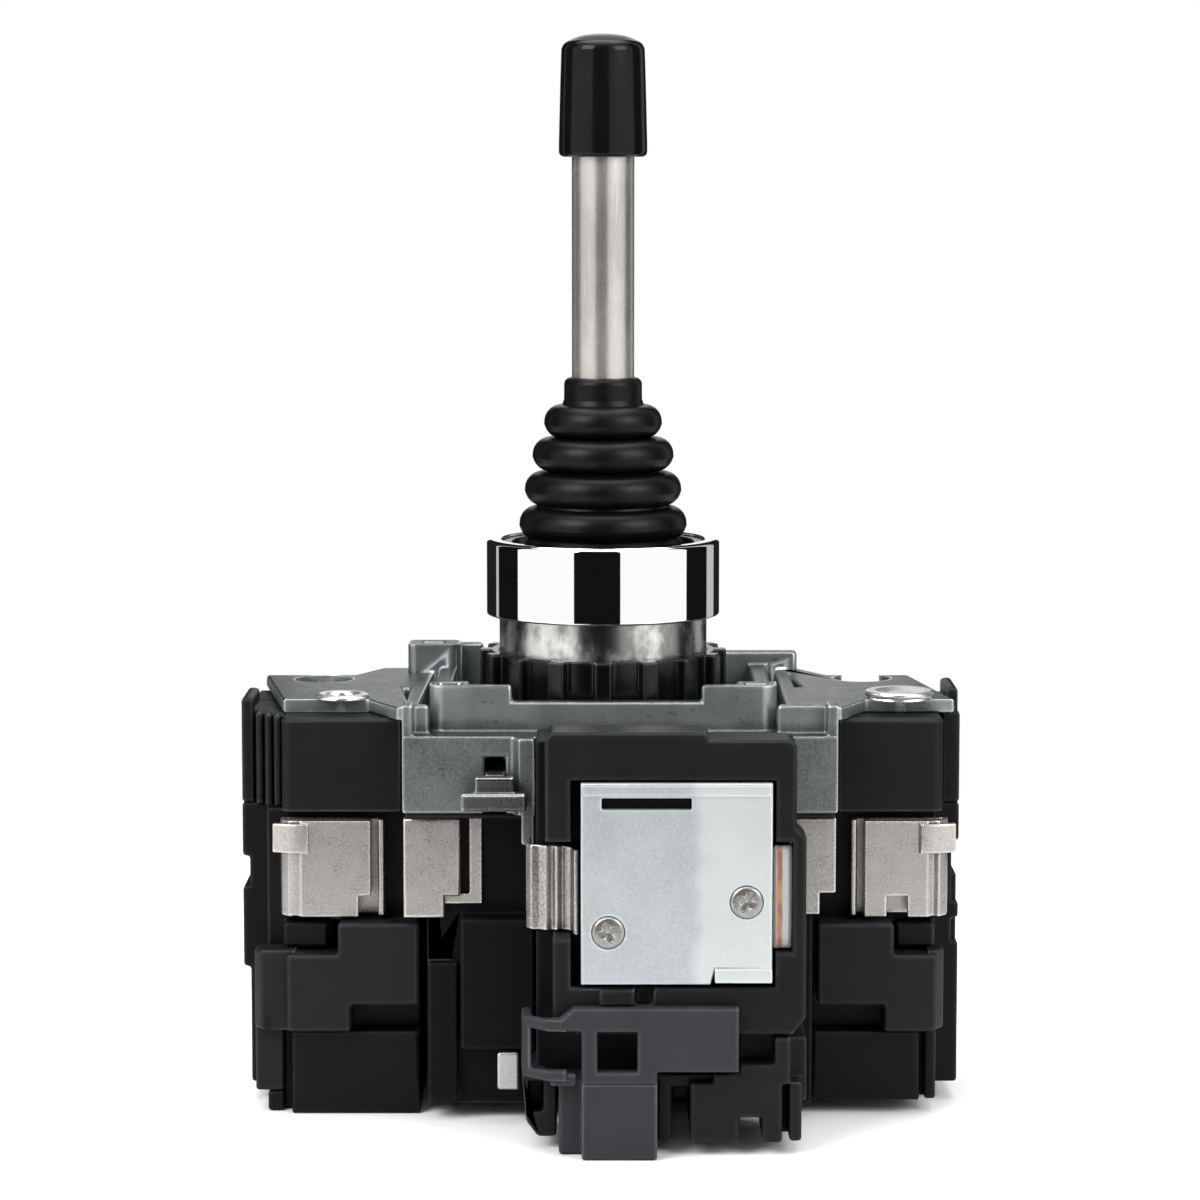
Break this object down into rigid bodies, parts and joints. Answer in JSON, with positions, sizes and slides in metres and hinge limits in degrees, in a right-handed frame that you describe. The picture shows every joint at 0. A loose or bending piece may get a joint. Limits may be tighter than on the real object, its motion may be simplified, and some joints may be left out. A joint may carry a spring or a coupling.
{
  "type": "panel joystick switch",
  "caption": "Panel-mounted four-way joystick switch: tilting lever with bellows, chrome bezel, zinc base and contact blocks.",
  "frame": {"origin": "centre of the bezel's underside, on the lever's axis, in the plane of the panel's outer face", "axes": "+Z along the lever out of the panel, -Y towards the front contact block, +X to the right seen from the front"},
  "size_m": [0.0918, 0.084, 0.1357],
  "materials": {
    "vinyl": "glossy dipped vinyl",
    "steel": "turned steel",
    "spring_steel": "drawn wire",
    "bright_steel": "bright plated",
    "rubber": "satin moulded rubber",
    "chrome": "mirror",
    "black_plastic": "satin moulded",
    "gloss_black": "semi-gloss moulded",
    "slate_plastic": "satin moulded",
    "white_plastic": "moulded",
    "zinc": "passivated die casting and sheet",
    "nickel": "nickel plated, satin",
    "copper": "plain"
  },
  "bodies": {
    "base": {"back_clip": "nickel", "back_cover": "slate_plastic", "back_frame": "black_plastic", "back_housing": "black_plastic", "back_lower_housing": "black_plastic", "back_plate": "zinc", "back_release_tab": "zinc", "back_strip": "nickel", "base_casting": "zinc", "bezel": "chrome", "boot": "rubber", "boot_retainer": "black_plastic", "centre_body": "black_plastic", "clamp_nut": "gloss_black", "front_clip": "nickel", "front_cover": "slate_plastic", "front_frame": "black_plastic", "front_housing": "black_plastic", "front_lower_housing": "black_plastic", "front_plate": "zinc", "front_release_tab": "zinc", "front_strip": "nickel", "inner_terminals": "nickel", "left_back_cage": "nickel", "left_back_cap": "black_plastic", "left_back_cover": "slate_plastic", "left_back_housing": "black_plastic", "left_front_cage": "nickel", "left_front_cap": "black_plastic", "left_front_cover": "slate_plastic", "left_front_housing": "black_plastic", "neck": "steel", "plate_screws": "bright_steel", "plunger_springs": "spring_steel", "return_spring": "spring_steel", "right_back_cage": "nickel", "right_back_cap": "black_plastic", "right_back_cover": "slate_plastic", "right_back_housing": "black_plastic", "right_front_cage": "nickel", "right_front_cap": "black_plastic", "right_front_cover": "slate_plastic", "right_front_housing": "black_plastic", "wing_rivets": "bright_steel"},
    "gimbal": {"gimbal_ring": "steel", "gimbal_pins": "steel"},
    "lever": {"lever_knob": "vinyl", "lever_rod": "steel", "lever_pin": "steel", "swash_plate": "steel"},
    "left_plunger": {"plunger_left": "white_plastic", "bridge_left": "copper"},
    "right_plunger": {"plunger_right": "white_plastic", "bridge_right": "copper"},
    "front_plunger": {"plunger_front": "white_plastic", "bridge_front": "copper"},
    "back_plunger": {"plunger_back": "white_plastic", "bridge_back": "copper"},
    "front_latch_slide": {"front_latch": "zinc"},
    "back_latch_slide": {"back_latch": "zinc"}
  },
  "joints": [
    {"name": "gimbal_tilt", "type": "hinge", "parent": "base", "child": "gimbal", "pos_m": [0, 0, -0.01], "axis": [1, 0, 0], "range_deg": [-14, 14], "stiffness_Nm_per_rad": 0.4, "deforming": ["boot", "return_spring", "plunger_springs"]},
    {"name": "lever_tilt", "type": "hinge", "parent": "gimbal", "child": "lever", "pos_m": [0, 0, -0.01], "axis": [0, 1, 0], "range_deg": [-14, 14], "stiffness_Nm_per_rad": 0.4},
    {"name": "left_plunger_slide", "type": "slide", "parent": "base", "child": "left_plunger", "axis": [0, 0, 1], "range_m": [-0.00343, 0.00343]},
    {"name": "right_plunger_slide", "type": "slide", "parent": "base", "child": "right_plunger", "axis": [0, 0, 1], "range_m": [-0.00343, 0.00343]},
    {"name": "front_plunger_slide", "type": "slide", "parent": "base", "child": "front_plunger", "axis": [0, 0, 1], "range_m": [-0.00343, 0.00343]},
    {"name": "back_plunger_slide", "type": "slide", "parent": "base", "child": "back_plunger", "axis": [0, 0, 1], "range_m": [-0.00343, 0.00343]},
    {"name": "front_latch_lift", "type": "slide", "parent": "base", "child": "front_latch_slide", "axis": [0, 0, 1], "range_m": [0, 0.0018], "stiffness_N_per_m": 200},
    {"name": "back_latch_lift", "type": "slide", "parent": "base", "child": "back_latch_slide", "axis": [0, 0, 1], "range_m": [0, 0.0018], "stiffness_N_per_m": 200}
  ],
  "couplings": [
    {"joint": "left_plunger_slide", "follows": "lever_tilt", "m_per_rad": 0.014},
    {"joint": "right_plunger_slide", "follows": "lever_tilt", "m_per_rad": -0.014},
    {"joint": "front_plunger_slide", "follows": "gimbal_tilt", "m_per_rad": -0.014},
    {"joint": "back_plunger_slide", "follows": "gimbal_tilt", "m_per_rad": 0.014}
  ]
}
